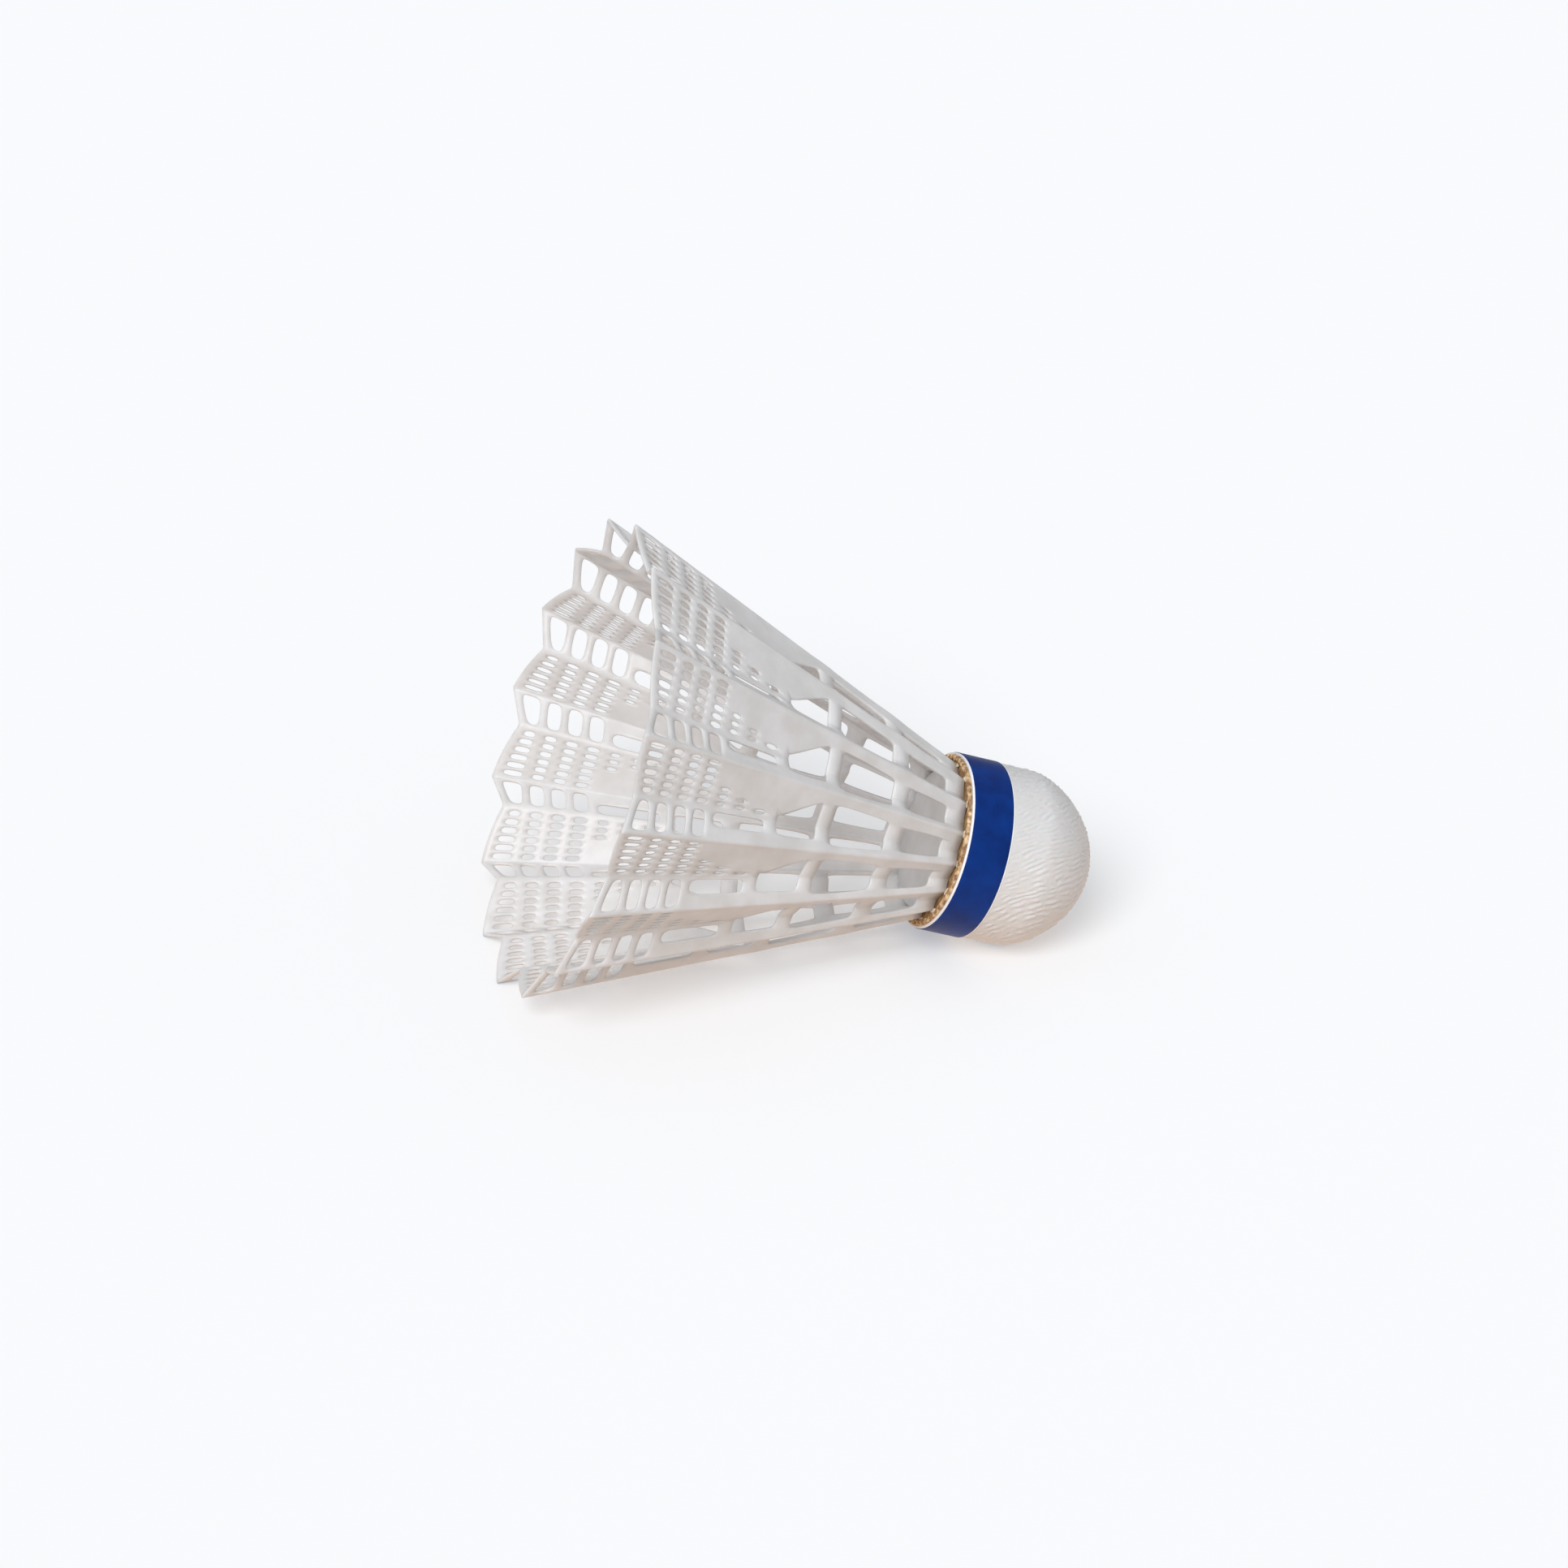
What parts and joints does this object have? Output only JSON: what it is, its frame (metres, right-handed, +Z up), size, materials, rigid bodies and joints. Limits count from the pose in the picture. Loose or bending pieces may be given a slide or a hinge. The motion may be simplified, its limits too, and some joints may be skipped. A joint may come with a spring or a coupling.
{
  "type": "badminton shuttlecock",
  "caption": "Synthetic shuttlecock: pleated open-lattice nylon skirt plugged into a cork base with a white cover and a coloured ribbon, lying on its side.",
  "frame": {"origin": "centre of the footprint box, on the floor that two teeth of the skirt and the base rest on", "axes": "+X level, along the shuttlecock towards its nose; +Z up; +Y completes a right-handed frame"},
  "size_m": [0.0851, 0.0664, 0.0635],
  "materials": {
    "nylon_skirt": "milky translucent nylon, satin",
    "cork_core": "natural granular cork",
    "base_cover": "white synthetic leather, fine wrinkles",
    "edge_binding": "thin white tape",
    "speed_band": "deep blue ribbon, satin",
    "plug_adhesive": "dried clear adhesive",
    "neck_glue": "whitish dried adhesive"
  },
  "bodies": {
    "root": {"nylon_skirt": "nylon_skirt", "cork_core": "cork_core", "base_cover": "base_cover", "edge_binding": "edge_binding", "speed_band": "speed_band", "plug_adhesive": "plug_adhesive", "neck_glue": "neck_glue"}
  },
  "joints": []
}
